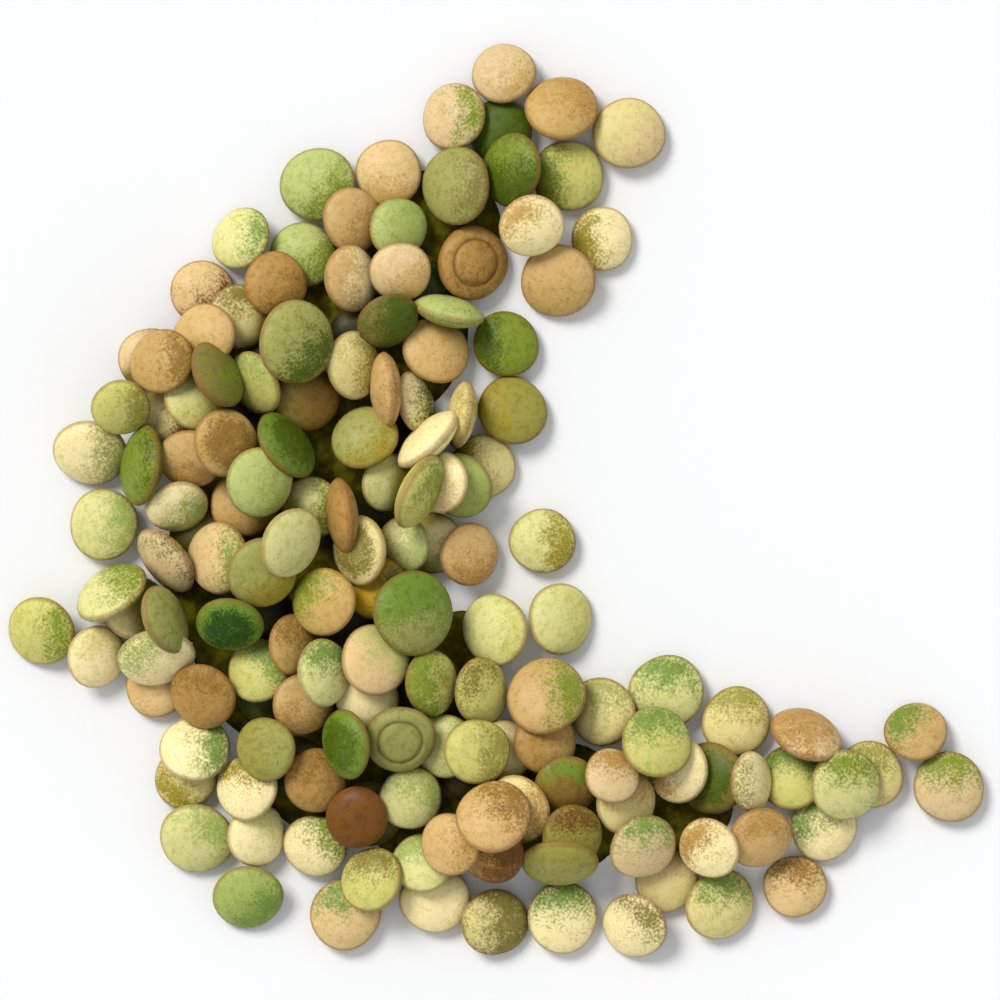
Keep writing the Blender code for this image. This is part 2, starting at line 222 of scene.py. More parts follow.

# Listed lentils, as coat, x, y, width, second colour, its side, and a leaning one's lean and turn

# Those on the ground round the heap
RIM = [
    # Its dark coat is painted shade, where the lentil lies low between its neighbours
    ("forest", 0.4, 33.2, 6.0, "forest", "N"),
    # A paler coat than this lentil shows: painted light against the shade of the lentils over it
    ("cream", -5.8, -4.0, 5.8, "lime", "S"),
    ("straw", -28.0, -25.2, 5.8, "mustard", "SW"),
    ("straw", 15.4, -34.4, 6.0, "peach", "N"),
    ("sand", 0.7, 38.4, 6.0, "ochre", "SE"),
    ("sand", -3.8, 34.5, 6.3, "leaf", "E"),
    ("peach", -9.7, 29.4, 6.2, "ochre", "S"),
    ("lime", -16.1, 28.4, 6.9, "leaf", "SE"),
    ("mint", -23.0, 23.5, 6.0, "fern", "E", 32, 65),
    ("peach", -26.5, 18.7, 6.0, "rust", "SE"),
    # Its umber east side is painted shade from the lentil that lies on it
    ("sand", -31.2, 12.6, 6.0, "umber", "E"),
    ("cream", -36.6, 4.2, 6.8, "sage", "E", 30, -12),
    ("mint", -35.4, -2.3, 6.5, "jade", "E"),
    ("pear", -41.0, -11.9, 6.6, "leaf", "E", 25, -50),
    ("cream", -36.0, -14.2, 5.8, "straw", "N"),
    ("peach", -30.6, -16.8, 6.0, "tan", "W"),
    ("cream", -27.1, -22.5, 6.4, "fern", "E"),
    ("mint", -27.0, -30.6, 6.8, "jade", "NE"),
    ("cream", -21.6, -30.3, 5.8, "mint", "NE"),
    ("jade", -22.4, -35.9, 6.5, "fern", "SE"),
    ("peach", -13.6, -37.5, 6.6, "fern", "N"),
    # Its cream northeast side is painted light, against the shade of its neighbours
    ("cream", -5.5, -36.1, 6.5, "cream", "NE"),
    ("moss", -0.1, -38.2, 6.4, "straw", "W"),
    ("cream", 6.0, -37.8, 6.6, "fern", "N"),
    ("cream", 12.5, -38.5, 6.2, "moss", "NE"),
    ("straw", 20.2, -36.6, 6.6, "fern", "N"),
    ("peach", 27.0, -35.0, 5.8, "umber", "N"),
    ("cream", 29.6, -29.6, 6.3, "fern", "NW"),
    ("straw", 33.8, -24.9, 6.2, "olive", "N"),
    ("sand", 40.9, -26.0, 6.6, "leaf", "N"),
    ("tan", 37.9, -21.0, 5.8, "green", "NW"),
    ("straw", 21.7, -20.1, 6.4, "olive", "N"),
    ("mint", 15.4, -17.4, 6.9, "fern", "N"),
    ("straw", 9.6, -19.2, 6.4, "sage", "N"),
    ("mint", -0.1, -11.8, 6.7, "pear", "E", 28, 90),
    ("mint", 5.8, -10.8, 6.5, "pear", "E"),
    ("tan", -2.4, -5.0, 5.8, "brown", "S"),
    ("straw", -1.2, 2.9, 6.0, "mustard", "W"),
    ("olive", 1.5, 8.0, 6.4, "mustard", "W"),
    ("leaf", 0.9, 14.0, 6.1, "forest", "W"),
    ("cream", 9.6, 23.5, 5.8, "mustard", "W"),
    ("pear", 6.5, 29.2, 6.6, "leaf", "W"),
    ("straw", 12.0, 33.0, 6.7, "sand", "SE"),
    ("tan", 5.6, 19.7, 7.0, "ochre", "S"),
]

# Those that show in part, the lowest first
BETWEEN = [
    ("lime", -17.4, 22.0, 6.2, "leaf", "SE"),
    ("straw", -23.0, 16.4, 6.0, "moss", "N"),
    ("cream", -7.2, 8.6, 6.0, "forest", "E", 62, 105),
    ("straw", -3.1, 7.6, 6.4, "mustard", "E", 76, 80),
    ("mint", -9.6, 1.5, 5.5, "mint", "W"),
    ("jade", -3.4, 1.2, 6.4, "jade", "E"),
    ("lime", -8.4, -4.2, 5.4, "cream", "W"),
    ("cream", -29.6, 7.6, 5.8, "umber", "E"),
    ("mint", -26.9, 8.9, 6.0, "pear", "S"),
    ("tan", -27.4, 3.6, 5.8, "brown", "S"),
    # Its dark umber coat is painted shade, as it lies partly under its neighbours
    ("umber", -17.0, 9.0, 6.2, "moss", "W"),
    ("mint", -16.6, -0.8, 5.8, "leaf", "E"),
    ("tan", -22.6, -0.3, 6.4, "ochre", "S"),
    ("cream", -32.6, -9.8, 6.2, "straw", "E"),
    ("gold", -10.8, -8.0, 6.0, "moss", "E"),
    ("cream", -11.6, -17.8, 6.0, "cream", "E"),
    ("mint", -4.7, -22.2, 6.0, "jade", "E"),
    # A paler coat than this lentil shows: painted light against the shade of the lentils above it
    ("cream", 0.8, -22.6, 5.8, "straw", "S"),
    # Its brown coat is partly painted shade, as the lentil lies partly in shadow
    ("brown", 4.4, -21.8, 6.2, "ochre", "E"),
    ("umber", 6.3, -25.8, 6.0, "green", "N"),
    ("straw", 1.9, -27.8, 6.4, "brown", "E"),
    ("rust", -0.4, -31.6, 6.2, "brown", "W"),
    ("olive", 6.8, -30.2, 6.0, "rust", "N"),
    ("mint", -6.6, -32.7, 5.8, "jade", "N"),
    ("pear", 26.8, -25.0, 6.4, "fern", "N"),
    ("moss", 19.4, -25.2, 6.8, "forest", "C", 30, 90),
    ("cream", 16.3, -24.3, 6.2, "ochre", "W"),
    ("straw", 11.7, -27.3, 6.0, "ochre", "N"),
    ("sand", 13.2, -31.2, 6.3, "fern", "N"),
    ("tan", -12.9, 25.1, 6.0, "brown", "SE", 26, 90),
    ("jade", -8.8, 24.4, 5.6, "lime", "W"),
    # Its cream east side is painted light, against the shade that falls there
    ("tan", -13.0, 19.8, 6.2, "cream", "E", 40, 90),
    ("tan", -26.2, 14.6, 6.2, "ochre", "S"),
    ("tan", -5.4, 13.4, 6.4, "ochre", "E"),
    ("straw", -12.8, 12.0, 6.2, "olive", "E", 40, 90),
    ("sage", -11.8, 5.5, 6.2, "mustard", "SE"),
    ("cream", -5.0, 1.5, 5.8, "peach", "S", 30, 90),
    # Its dark moss middle is painted shadow from the brown leaning lentil beside it
    ("straw", -12.2, -4.6, 6.4, "moss", "C", 40, 90),
    ("pear", -21.6, 10.4, 6.2, "jade", "N", 50, -60),
    ("cream", -28.6, -0.7, 5.7, "jade", "SE", 38, 20),
    ("peach", -24.9, -5.3, 6.8, "leaf", "E", 34, 90),
    ("sage", -20.9, -6.6, 6.6, "mustard", "SE"),
    ("cream", -30.5, -14.2, 7.1, "jade", "NW", 45, 8),
    ("pear", -21.3, -15.4, 5.9, "fern", "NE"),
    ("ochre", -18.1, -13.1, 5.6, "umber", "N", 35, 90),
    ("tan", -17.3, -18.4, 5.9, "brown", "S"),
    ("mint", -15.4, -15.5, 6.2, "fern", "N", 42, 90),
    ("ochre", -15.4, -9.2, 6.4, "leaf", "NW", 25, 90),
    ("peach", -10.8, -14.4, 6.6, "lime", "NE"),
    # Its pale pear east side is painted light, against the shade that falls there
    ("leaf", -5.8, -16.5, 6.2, "pear", "E", 44, 90),
    ("pear", -1.3, -17.3, 6.2, "moss", "NW", 38, 90),
    ("cream", -22.4, -26.0, 6.0, "mustard", "N"),
    ("brown", -16.2, -25.3, 6.0, "umber", "N"),
    ("mint", -7.7, -26.9, 5.8, "jade", "NE"),
    ("tan", -4.1, -30.9, 5.8, "brown", "E"),
    ("cream", -16.3, -31.3, 5.9, "leaf", "NE"),
    ("cream", 22.9, -25.4, 5.6, "olive", "W", 48, 90),
    ("sand", 10.4, -24.8, 5.2, "brown", "N"),
    ("tan", 23.7, -30.4, 6.0, "brown", "N"),
    ("cream", 19.1, -31.3, 5.7, "brown", "NW"),
]

# Those that lie on the others
TOP = [
    ("ochre", 5.9, 35.2, 6.9, "brown", "NE", 30, -5),
    ("forest", 1.4, 29.6, 6.8, "leaf", "N", 40, 90),
    ("sage", -3.6, 28.2, 7.2, "moss", "E", 30, 85),
    ("cream", 3.2, 24.5, 6.0, "ochre", "NW"),
    ("brown", -2.1, 21.3, 6.8, "umber", "SE"),
    ("sand", -8.6, 20.4, 5.6, "ochre", "SE"),
    ("brown", -19.8, 19.3, 6.0, "umber", "SE"),
    ("sage", -17.8, 14.0, 7.6, "forest", "SE", 28, 90),
    ("ochre", -29.9, 12.3, 6.2, "umber", "E"),
    ("pear", -33.6, 8.2, 5.6, "olive", "E", 30, 5),
    ("ochre", -24.1, 5.0, 6.3, "umber", "C"),
    ("lime", -21.1, 1.5, 6.5, "jade", "E"),
    ("brown", -26.3, -17.7, 6.3, "umber", "N"),
    ("green", -7.4, -10.2, 8.0, "sage", "S", 28, 90),
    ("tan", 4.5, -17.7, 7.4, "leaf", "E", 24, 15),
    ("olive", -20.6, -22.4, 5.8, "sage", "E"),
    ("rust", -12.5, -28.6, 5.8, "rust", "N"),
    ("sage", -8.6, -21.5, 6.5, "sage", "N"),
    ("pear", -1.7, -22.6, 6.1, "olive", "E"),
    ("tan", -0.2, -28.3, 7.0, "umber", "NE", 28, 10),
    # Its dark moss north side is painted shade
    ("pear", -11.2, -34.2, 6.0, "moss", "N"),
    ("pear", 14.4, -21.8, 6.7, "fern", "N"),
    ("mint", 31.4, -25.7, 6.7, "leaf", "N"),
]

# Those that lean or stand on edge
LEANING = [
    ("lime", -4.2, 16.9, 6.6, "fern", "S", 74, -14),
    ("tan", -9.9, 9.8, 6.9, "umber", "E", 76, -85),
    ("cream", -6.1, 5.3, 7.2, "straw", "SE", 74, 42),
    ("pear", -6.8, 0.6, 7.2, "leaf", "E", 68, 62),
    ("brown", -13.8, -1.5, 7.0, "brown", "E", 76, -84),
    ("moss", -24.9, 11.1, 6.6, "leaf", "E", 58, -60),
    ("leaf", -31.8, 3.0, 7.3, "forest", "E", 60, 82),
    ("green", -18.8, 4.8, 6.8, "forest", "C", 58, -55),
    ("sand", -29.7, -5.5, 6.8, "forest", "NE", 58, -50),
    ("sage", -29.6, -10.8, 6.6, "jade", "E", 62, -70),
    ("mint", -34.6, -8.4, 7.4, "leaf", "NE", 58, 32),
    ("green", -23.8, -11.2, 6.3, "pine", "C", 42, 0),
    ("green", -13.4, -21.9, 6.4, "forest", "C", 48, 100),
    ("olive", 5.7, -32.6, 7.0, "sage", "S", 54, 0),
    ("brown", 27.9, -21.2, 7.0, "sand", "S", 55, -22),
    ("forest", -9.7, 16.0, 5.8, "moss", "W", 40, 25),
    ("mint", -18.3, -3.9, 6.6, "mint", "S", 42, 62),
]

# The lentil that lies clear of the heap, and those whose coat has a ring pressed into it, by their places
APART = ("mint", 4.2, -3.8, 6.1, "mustard", "E")
RINGED = [(-2.1, 21.3), (-8.6, -21.5)]

# The camera: how high it is, what it shows across, and the middle of its view
CAMERA_HEIGHT = 500.0
VIEW_ACROSS = 90.0
VIEW_MIDDLE = (0.36, -0.09, 3.0)
SENSOR = 36.0
CLIP = (0.01, 10.0)

# The light: a key from one side and a fill from all round
KEY_STRENGTH = 2.55
KEY_FROM = (-0.62, 0.68, 1.0)
KEY_SOFTNESS = 24
KEY_COLOUR = (1.0, 0.98, 0.95)
FILL_LIGHT = 0.64
FILL_COLOUR = (0.93, 0.965, 1.0)

# The floor
FLOOR_COLOUR = (0.82, 0.82, 0.825)
FLOOR_SIZE = 3000.0
FLOOR_ROUGHNESS = 0.9
FLOOR_GLOSS = 0.2


def core_height(x, y):
    """Height that the heap's inside would have above the ground over the points x, y."""
    height = np.zeros(np.shape(x))
    for dome_x, dome_y, radius, top in CORE_DOMES:
        squared = ((x - dome_x) ** 2 + (y - dome_y) ** 2) / radius**2
        height = np.maximum(height, top * (1 - squared))
    return height


def tilted(lean, heading):
    """Unit vector that leans from upright towards a compass heading."""
    lean, heading = math.radians(lean), math.radians(heading)
    return np.array([math.sin(lean) * math.cos(heading), math.sin(lean) * math.sin(heading), math.cos(lean)])


def settling_normals():
    """The ways up that a lentil can settle to by itself."""
    return [tilted(lean, heading) for lean in SETTLING_LEANS for heading in SETTLING_HEADINGS]


class Pile:
    """The height of everything laid so far, on a fine grid, and the lentils that lie on it."""

    def __init__(self, height_at, top):
        edge = np.arange(-HALF_SPAN, HALF_SPAN, CELL)
        self.x, self.y = np.meshgrid(edge, edge, indexing="ij")
        self.height = height_at(self.x, self.y)
        self.top = top
        self.lentils = []

    def window(self, x, y, radius):
        """The part of the grid that a lentil at x, y can cover."""
        first = [max(0, int((place - radius + HALF_SPAN) / CELL)) for place in (x, y)]
        last = [int((place + radius + HALF_SPAN) / CELL) + 2 for place in (x, y)]
        return slice(first[0], last[0]), slice(first[1], last[1])

    def sheets(self, x, y, across, normal):
        """Where a lentil covers the grid, and its lower and upper face there, from its middle."""
        radius, half_thick = across / 2, across * THICKNESS_RATIO / 2
        area = self.window(x, y, radius)
        u, v = self.x[area] - x, self.y[area] - y
        along = np.outer(normal, normal)
        form = along / half_thick**2 + (np.eye(3) - along) / radius**2
        tilt = (form[0, 2] * u + form[1, 2] * v) / form[2, 2]
        flat = (form[0, 0] * u**2 + 2 * form[0, 1] * u * v + form[1, 1] * v**2 - 1) / form[2, 2]
        reach = tilt**2 - flat
        half = np.sqrt(np.maximum(reach, 0))
        return area, reach > 0, -tilt - half, half - tilt

    def resting_height(self, x, y, across, normal, sink, shown):
        """Height of a lentil's middle when it rests on the pile, or lower if enough of it stays in view."""
        area, covered, lower, upper = self.sheets(x, y, across, normal)
        under = self.height[area][covered]
        rest = (under - lower[covered]).max() - sink
        if shown is None:
            return float(rest)
        return float(min(rest, np.quantile(under - upper[covered], shown)))

    def lay(self, row, normals, sink=SINK, shown=None, shade=1.0):
        """Lay a row's lentil the way up, of those given, that brings it lowest."""
        x, y, across = row[1:4]
        heights = [self.resting_height(x, y, across, normal, sink, shown) for normal in normals]
        best = int(np.argmin(heights))
        normal = normals[best]
        area, covered, _, upper = self.sheets(x, y, across, normal)
        half_height = half_height_of(across, normal)
        z = max(min(heights[best], self.top - half_height), half_height)
        self.height[area] = np.where(covered, np.maximum(self.height[area], z + upper), self.height[area])
        # shade darkens the coat as painted shade, for lentils laid under the others
        self.lentils.append((row, (x, y, z), across, normal, shade))

    def smoothed(self, reach):
        """The pile's height, averaged over a square round each point."""
        steps = range(-round(reach / CELL), round(reach / CELL) + 1)
        along = sum(np.roll(self.height, step, 0) for step in steps) / len(steps)
        return sum(np.roll(along, step, 1) for step in steps) / len(steps)

    def lay_rows(self, rows):
        """Lay listed lentils. One with a lean and the turn of its long side keeps both."""
        for row in rows:
            if len(row) > 6:
                lean, turn = row[6:8]
                shown = STEEP_SHOWN if lean > STEEP else None
                self.lay(row, [tilted(lean, turn + 90), tilted(lean, turn - 90)], LEANING_SINK, shown)
            else:
                self.lay(row, settling_normals())

    def lay_under(self, taken):
        """Lay lentils over the core, each as far as possible from the places that are taken."""
        rng, looks = np.random.default_rng(UNDER_SEED), np.random.default_rng(UNDER_SEED)
        edge = np.arange(-HALF_SPAN, HALF_SPAN, UNDER_GRID)
        x, y = (grid.ravel() for grid in np.meshgrid(edge, edge))
        x, y = (grid + rng.uniform(-0.5, 0.5, grid.size) * UNDER_GRID for grid in (x, y))
        keep = core_height(x, y) > UNDER_EDGE_HEIGHT
        x, y = x[keep], y[keep]
        gap = np.full(x.size, np.inf)
        for row in taken:
            gap = np.minimum(gap, np.hypot(x - row[1], y - row[2]))
        normals = settling_normals()
        while gap.max() > UNDER_SPACING:
            spot = int(np.argmax(gap))
            coat, blush = (str(name) for name in looks.choice(UNDER_COATS, 2))
            side = str(looks.choice(list(SIDES)))
            row = (coat, float(x[spot]), float(y[spot]), rng.uniform(*UNDER_ACROSS), blush, side)
            self.lay(row, normals, shade=UNDER_SHADE)
            gap = np.minimum(gap, np.hypot(x - x[spot], y - y[spot]))


def half_height_of(across, normal):
    """How far a lentil reaches above and below its middle."""
    radius, half_thick = across / 2, across * THICKNESS_RATIO / 2
    return math.hypot(half_thick * normal[2], radius * math.sqrt(1 - min(1.0, normal[2] ** 2)))


def laid_heap():
    """The whole pile: for each lentil its row, middle, width, the way its flat side faces, and painted
    shade.
    """
    pile = Pile(lambda x, y: CORE_SHARE * core_height(x, y), cad_box[1][2] / MM)
    pile.lay_rows(RIM)
    pile.lay_under(RIM)
    pile.lay_rows(BETWEEN)
    pile.lay_rows(TOP)
    pile.lay_rows(LEANING)
    return pile


def lens_layout():
    """For each point of a lentil: how far out it is, how far round, and which face it is on."""
    share = np.array(LENTIL_RINGS + LENTIL_RINGS[-2::-1])
    face = np.array([1] * len(LENTIL_RINGS) + [-1] * (len(LENTIL_RINGS) - 1))
    turn = 2 * math.pi * np.arange(LENTIL_SIDES) / LENTIL_SIDES
    share = np.concatenate([[0], np.repeat(share, LENTIL_SIDES), [0]])
    face = np.concatenate([[1], np.repeat(face, LENTIL_SIDES), [-1]])
    turn = np.concatenate([[0], np.tile(turn, 2 * len(LENTIL_RINGS) - 1), [0]])
    return share, turn, face


def lens_faces():
    """The faces of a lentil: a fan over each pole, and bands between the rings."""
    bands = 2 * len(LENTIL_RINGS) - 2
    last_ring = 1 + bands * LENTIL_SIDES
    pole = last_ring + LENTIL_SIDES
    faces = []
    for side in range(LENTIL_SIDES):
        after = (side + 1) % LENTIL_SIDES
        faces.append((0, 1 + side, 1 + after))
        for band in range(bands):
            near, far = 1 + band * LENTIL_SIDES, 1 + (band + 1) * LENTIL_SIDES
            faces.append((near + side, far + side, far + after, near + after))
        faces.append((pole, last_ring + after, last_ring + side))
    return faces


LENS_SHARE, LENS_TURN, LENS_FACE = lens_layout()
LENS_FACES = lens_faces()
LENS_CREASE = np.exp(-(((LENS_SHARE - CREASE_AT) / CREASE_WIDTH) ** 2))


def lens_points(across, ringed, rng):
    """The points of one lentil round its middle: a lens, slightly uneven as every seed is."""
    radius, half_thick = across / 2, across * THICKNESS_RATIO / 2
    waves = np.zeros(len(LENS_TURN))
    for count, size in OUTLINE_WAVES.items():
        waves = waves + size * np.cos(count * LENS_TURN + rng.uniform(*PHASES))
    outline = WIDEST + waves - waves.max()
    u, v = LENS_SHARE * np.cos(LENS_TURN), LENS_SHARE * np.sin(LENS_TURN)
    rise = (1 - LENS_SHARE**2) ** LENS_POWER
    rise = rise * (1 + SLANT * LENS_SHARE * np.cos(LENS_TURN + rng.uniform(*PHASES)))
    for face in (1, -1):
        for _ in range(PITS):
            far, turn = rng.uniform(*PIT_PLACES), rng.uniform(0, 2 * math.pi)
            squared = (u - far * math.cos(turn)) ** 2 + (v - far * math.sin(turn)) ** 2
            pit = rng.uniform(*PIT_DEPTH) * np.exp(-squared / rng.uniform(*PIT_WIDTH) ** 2)
            rise = rise - np.where(LENS_FACE == face, pit * (1 - LENS_SHARE**4), 0)
    if ringed:
        rise = rise - CREASE_DEPTH * LENS_CREASE
    rise = np.clip(rise, 0, 1)
    return np.column_stack([radius * outline * u, radius * outline * v, half_thick * LENS_FACE * rise])


def linear(colour):
    """A colour of 255 as the linear light that the shader works in."""
    share = np.array(colour) / 255
    return np.where(share <= 0.04045, share / 12.92, ((share + 0.055) / 1.055) ** 2.4)


def smooth_step(value, low, high):
    """0 below low, 1 above high, and a soft rise between."""
    t = np.clip((value - low) / (high - low), 0, 1)
    return t * t * (3 - 2 * t)


def blush_amount(offset, radius, side):
    """How much of the second colour each point has, from its place in the picture."""
    if side == "C":
        return 1 - smooth_step(LENS_SHARE, *BLUSH_MIDDLE)
    toward = (offset[:, 0] * SIDES[side][0] + offset[:, 1] * SIDES[side][1]) / radius
    return smooth_step(toward, *BLUSH_SPREAD) * (1 - BLUSH_FADE * smooth_step(LENS_SHARE, *BLUSH_EDGE))


def hollow_amount(points, surroundings):
    """How much painted shade each point gets, from 0 to 1, by how deep it lies below the heap round it."""
    cells = np.clip(((points[:, :2] + HALF_SPAN) / CELL).round().astype(int), 0, len(surroundings) - 1)
    return smooth_step(surroundings[cells[:, 0], cells[:, 1]] - points[:, 2], *PAINTED_SHADE_DEPTH)


def dress_lentil(laid, surroundings, rng):
    """The placed points of one lentil and what its material reads: colours, grain and painted shade from how
    deep it lies.
    """
    row, middle, across, normal, shade = laid
    coat, x, y, _, blush, side = row[:6]
    ringed = (x, y) in RINGED
    local = lens_points(across, ringed, rng)
    spin = rng.uniform(0, 2 * math.pi)
    cos, sin = math.cos(spin), math.sin(spin)
    turned = local @ np.array([[cos, sin, 0], [-sin, cos, 0], [0, 0, 1]])
    turn = np.array(Vector((0, 0, 1)).rotation_difference(Vector(normal)).to_matrix())
    offset = turned @ turn.T
    # The coat's painted shade, times a random tone of this lentil's own
    shade = shade * rng.normal(1, SHADE_SPREAD)
    count = len(local)
    colours = np.ones((count, 4))
    colours[:, :3] = np.clip(linear(COATS[coat][1]) * shade, 0, 1)
    blushes = np.empty((count, 4))
    blushes[:, :3] = np.clip(linear(COATS[blush][1]) * shade, 0, 1)
    blushes[:, 3] = blush_amount(offset, across / 2, side)
    grain = local + rng.uniform(0, GRAIN_SPREAD, 3)
    points = offset + np.array(middle)
    points[:, 2] -= min(0, points[:, 2].min())
    # Painted shade: the coat is darker where the lentil lies deep below the heap round it
    painted_shade = hollow_amount(points, surroundings)
    # A ring's crease also gets a line of painted shade
    if ringed:
        painted_shade = np.maximum(painted_shade, CREASE_SHADE * LENS_CREASE)
    return points, colours, blushes, grain, painted_shade


def lentil_piece(name, laid, surroundings, rng):
    """One object with all the given lentils in its mesh."""
    dressed = [dress_lentil(lentil, surroundings, rng) for lentil in laid]
    points, colours, blushes, grain, painted_shade = (np.concatenate(part) for part in zip(*dressed))
    faces = []
    for number in range(len(laid)):
        first = number * len(LENS_SHARE)
        faces += [tuple(first + corner for corner in face) for face in LENS_FACES]
    mesh = bpy.data.meshes.new(name)
    mesh.from_pydata((points * MM).tolist(), [], faces)
    mesh.shade_smooth()
    mesh.attributes.new("coat", "FLOAT_COLOR", "POINT").data.foreach_set("color", colours.ravel())
    mesh.attributes.new("blush", "FLOAT_COLOR", "POINT").data.foreach_set("color", blushes.ravel())
    mesh.attributes.new("grain", "FLOAT_VECTOR", "POINT").data.foreach_set("vector", grain.ravel())
    edges = np.tile(LENS_SHARE, len(laid))
    mesh.attributes.new("edge", "FLOAT", "POINT").data.foreach_set("value", edges)
    # How much painted shade each point gets
    mesh.attributes.new("painted_shade", "FLOAT", "POINT").data.foreach_set("value", painted_shade)
    piece = bpy.data.objects.new(name, mesh)
    bpy.context.scene.collection.objects.link(piece)
    return piece


class Shader:
    """A node material under construction."""

    def __init__(self, name):
        self.material = bpy.data.materials.new(name)
        self.material.use_nodes = True
        self.tree = self.material.node_tree
        self.surface = self.tree.nodes["Principled BSDF"]

    def put(self, value, socket):
        """Link an output to a socket, or set the socket's own value."""
        if isinstance(value, bpy.types.NodeSocket):
            self.tree.links.new(value, socket)
        else:
            socket.default_value = value

    def attribute(self, name, output):
        """What a mesh attribute holds."""
        node = self.tree.nodes.new("ShaderNodeAttribute")
        node.attribute_name = name
        return node.outputs[output]

    def noise(self, vector, scale, detail, distortion=0.0):
        """Clouds of 0 to 1 at a scale per millimetre."""
        node = self.tree.nodes.new("ShaderNodeTexNoise")
        self.put(vector, node.inputs["Vector"])
        self.put(scale, node.inputs["Scale"])
        self.put(detail, node.inputs["Detail"])
        self.put(distortion, node.inputs["Distortion"])
        return node.outputs["Fac"]

    def step(self, value, low, high, start=0.0, end=1.0):
        """A soft rise from start to end while the value goes from low to high."""
        node = self.tree.nodes.new("ShaderNodeMapRange")
        node.interpolation_type = "SMOOTHSTEP"
        for place, given in enumerate((value, low, high, start, end)):
            self.put(given, node.inputs[place])
        return node.outputs["Result"]

    def math(self, operation, first, second):
        """A sum, product or other arithmetic of two values."""
        node = self.tree.nodes.new("ShaderNodeMath")
        node.operation = operation
        self.put(first, node.inputs[0])
        self.put(second, node.inputs[1])
        return node.outputs[0]

    def mix(self, amount, first, second, blend="MIX"):
        """One colour laid over another."""
        node = self.tree.nodes.new("ShaderNodeMix")
        node.data_type = "RGBA"
        node.blend_type = blend
        sockets = [socket for socket in node.inputs if socket.type == "RGBA"]
        self.put(amount, node.inputs["Factor"])
        self.put(first, sockets[0])
        self.put(second, sockets[1])
        return next(socket for socket in node.outputs if socket.type == "RGBA")

    def bump(self, height, strength, distance):
        """Fine relief that is too small to model."""
        node = self.tree.nodes.new("ShaderNodeBump")
        self.put(height, node.inputs["Height"])
        self.put(strength, node.inputs["Strength"])
        self.put(distance, node.inputs["Distance"])
        self.put(node.outputs["Normal"], self.surface.inputs["Normal"])


def lentil_material(kind):
    """The coat of one kind of lentil: two colours that run into each other, mottles, specks, rim and painted
    shade.
    """
    look = KINDS[kind]
    shader = Shader("lentil " + kind)
    grain = shader.attribute("grain", "Vector")
    edge = shader.attribute("edge", "Fac")
    shifts = []
    for scale, detail, shift in (CLOUDS, STIPPLE):
        shifts.append(shader.step(shader.noise(grain, scale, detail), *PATTERN_RANGE, -shift, shift))
    spread = shader.math("ADD", shader.attribute("blush", "Alpha"), shader.math("ADD", *shifts))
    spread = shader.step(spread, *BLUSH_SETS_IN)
    colour = shader.mix(spread, shader.attribute("coat", "Color"), shader.attribute("blush", "Color"))
    scale, detail, low, high = MOTTLES
    mottles = shader.noise(grain, scale, detail, MOTTLE_DISTORTION)
    mottles = shader.step(mottles, low, high, 0, look["mottles"])
    colour = shader.mix(mottles, colour, (*look["mottle_tint"], 1), "MULTIPLY")
    scale, detail, low, high = SPECKS
    specks = shader.step(shader.noise(grain, scale, detail), low, high, 0, look["specks"])
    specks = shader.math("MULTIPLY", specks, shader.step(spread, 0, 1, SPECKS_ON_FIRST, 1))
    colour = shader.mix(specks, colour, (*linear(SPECK_COLOUR), 1))
    low, high, amount = DARK_EDGE
    dark_edge = shader.step(edge, low, high, 0, amount)
    colour = shader.mix(dark_edge, colour, (*linear(EDGE_COLOUR), 1))
    # Painted shade, where the lentil lies deep in the heap and in a ring's crease
    colour = shader.mix(shader.attribute("painted_shade", "Fac"), colour, (*PAINTED_SHADE_TINT, 1), "MULTIPLY")
    shader.put(colour, shader.surface.inputs["Base Color"])
    shader.put(shader.step(mottles, 0, 1, *ROUGHNESS), shader.surface.inputs["Roughness"])
    shader.put(GLOSS, shader.surface.inputs["Specular IOR Level"])
    scale, detail, strength, depth = SKIN_RELIEF
    shader.bump(shader.noise(grain, scale, detail), strength, depth * MM)
    return shader.material


def core_piece():
    """The heap's dark core, painted shade that shows deep between the lentils and in two gaps."""
    points, faces = [], []
    turn = 2 * math.pi * np.arange(CORE_SIDES) / CORE_SIDES
    inside = [(x, y, radius - CORE_INSET, CORE_SHARE * top) for x, y, radius, top in CORE_DOMES]
    for x, y, radius, top in [dome for dome in inside if dome[2] >= CORE_INSET] + GAP_SHADE:
        first = len(points)
        for ring in range(CORE_RINGS + 1):
            share = 1 - ring / (CORE_RINGS + 1)
            out, z = radius * share, top * (1 - share**2)
            points += [(x + out * math.cos(t), y + out * math.sin(t), z) for t in turn]
        for ring in range(CORE_RINGS):
            low, high = first + ring * CORE_SIDES, first + (ring + 1) * CORE_SIDES
            for side in range(CORE_SIDES):
                after = (side + 1) % CORE_SIDES
                faces.append((low + side, low + after, high + after, high + side))
        faces.append(tuple(first + CORE_RINGS * CORE_SIDES + side for side in range(CORE_SIDES)))
        faces.append(tuple(first + side for side in reversed(range(CORE_SIDES))))
    mesh = bpy.data.meshes.new("heap_core")
    mesh.from_pydata((np.array(points) * MM).tolist(), [], faces)
    mesh.shade_smooth()
    piece = bpy.data.objects.new("heap_core", mesh)
    bpy.context.scene.collection.objects.link(piece)
    return piece


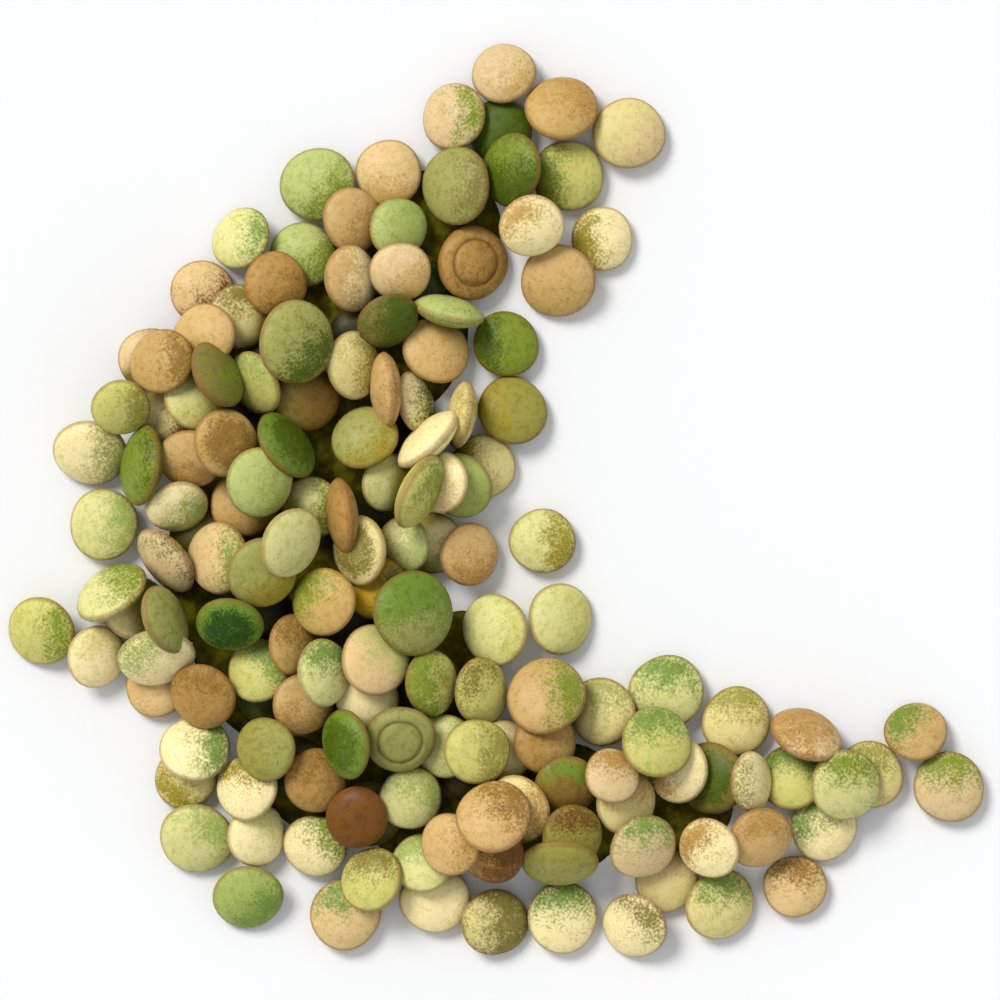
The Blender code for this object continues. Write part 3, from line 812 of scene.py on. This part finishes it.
def core_material():
    """Painted shade between the lentils: dark, with lighter crumbs."""
    shader = Shader("painted shade between lentils")
    coordinates = shader.tree.nodes.new("ShaderNodeTexCoord").outputs["Object"]
    scale, detail, low, high = CRUMBS
    crumbs = shader.noise(coordinates, scale, detail)
    dark = (*linear(CORE_SHADE_COLOUR), 1)
    light = (*(linear(CORE_SHADE_COLOUR) * CRUMB_LIGHT), 1)
    shader.put(shader.mix(shader.step(crumbs, low, high), dark, light), shader.surface.inputs["Base Color"])
    shader.put(CORE_ROUGHNESS, shader.surface.inputs["Roughness"])
    shader.put(CORE_GLOSS, shader.surface.inputs["Specular IOR Level"])
    strength, depth = CRUMB_RELIEF
    shader.bump(crumbs, strength, depth * MM)
    return shader.material


def add_heap():
    """The whole heap: one piece for each kind of lentil, over the core."""
    rng = np.random.default_rng(FORM_SEED)
    pile = laid_heap()
    surroundings = pile.smoothed(PAINTED_SHADE_REACH)
    pieces = [core_piece()]
    pieces[0].data.materials.append(core_material())
    for kind in KINDS:
        laid = [lentil for lentil in pile.lentils if COATS[lentil[0][0]][0] == kind]
        piece = lentil_piece("lentils_" + kind.replace(" ", "_"), laid, surroundings, rng)
        piece.data.materials.append(lentil_material(kind))
        pieces.append(piece)
    for piece in pieces:
        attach(piece, "root")
        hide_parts("lentil_heap")


def add_apart():
    """The lentil that lies by itself on the ground."""
    x, y, across = APART[1:4]
    middle = (x, y, across * THICKNESS_RATIO / 2)
    ground = np.zeros((1, 1))
    laid = [(APART, middle, across, tilted(0, 0), 1.0)]
    piece = lentil_piece("lentil_loose", laid, ground, np.random.default_rng(FORM_SEED))
    kind = COATS[APART[0]][0]
    piece.data.materials.append(bpy.data.materials["lentil " + kind])
    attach(piece, "root")
    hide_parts("lentil_apart")


def add_floor():
    """A plain pale floor."""
    half = FLOOR_SIZE / 2 * MM
    mesh = bpy.data.meshes.new("floor")
    corners = [(-half, -half, 0), (half, -half, 0), (half, half, 0), (-half, half, 0)]
    mesh.from_pydata(corners, [], [(0, 1, 2, 3)])
    shader = Shader("floor")
    shader.put((*FLOOR_COLOUR, 1), shader.surface.inputs["Base Color"])
    shader.put(FLOOR_ROUGHNESS, shader.surface.inputs["Roughness"])
    shader.put(FLOOR_GLOSS, shader.surface.inputs["Specular IOR Level"])
    mesh.materials.append(shader.material)
    floor = bpy.data.objects.new("floor", mesh)
    bpy.context.scene.collection.objects.link(floor)


def add_light():
    """A large soft key from the upper left, and an even fill from all round."""
    key = bpy.data.lights.new("key", "SUN")
    key.energy = KEY_STRENGTH
    key.color = KEY_COLOUR
    key.angle = math.radians(KEY_SOFTNESS)
    key_object = bpy.data.objects.new("key", key)
    key_object.rotation_euler = Vector(KEY_FROM).to_track_quat("Z", "Y").to_euler()
    bpy.context.scene.collection.objects.link(key_object)
    world = bpy.data.worlds.new("studio")
    world.use_nodes = True
    background = world.node_tree.nodes["Background"]
    background.inputs["Color"].default_value = (*FILL_COLOUR, 1)
    background.inputs["Strength"].default_value = FILL_LIGHT
    bpy.context.scene.world = world
    bpy.context.scene.view_settings.view_transform = "Standard"


def add_camera():
    """Straight above the heap, with +Y up in the picture."""
    camera = bpy.data.cameras.new("camera")
    camera.sensor_width = SENSOR
    camera.lens = SENSOR * (CAMERA_HEIGHT - VIEW_MIDDLE[2]) / VIEW_ACROSS
    camera.clip_start, camera.clip_end = CLIP
    camera_object = bpy.data.objects.new("camera", camera)
    camera_object.location = Vector((VIEW_MIDDLE[0], VIEW_MIDDLE[1], CAMERA_HEIGHT)) * MM
    bpy.context.scene.collection.objects.link(camera_object)
    bpy.context.scene.camera = camera_object


def main():
    """Build the scene."""
    add_heap()
    add_apart()
    add_floor()
    add_light()
    add_camera()


main()
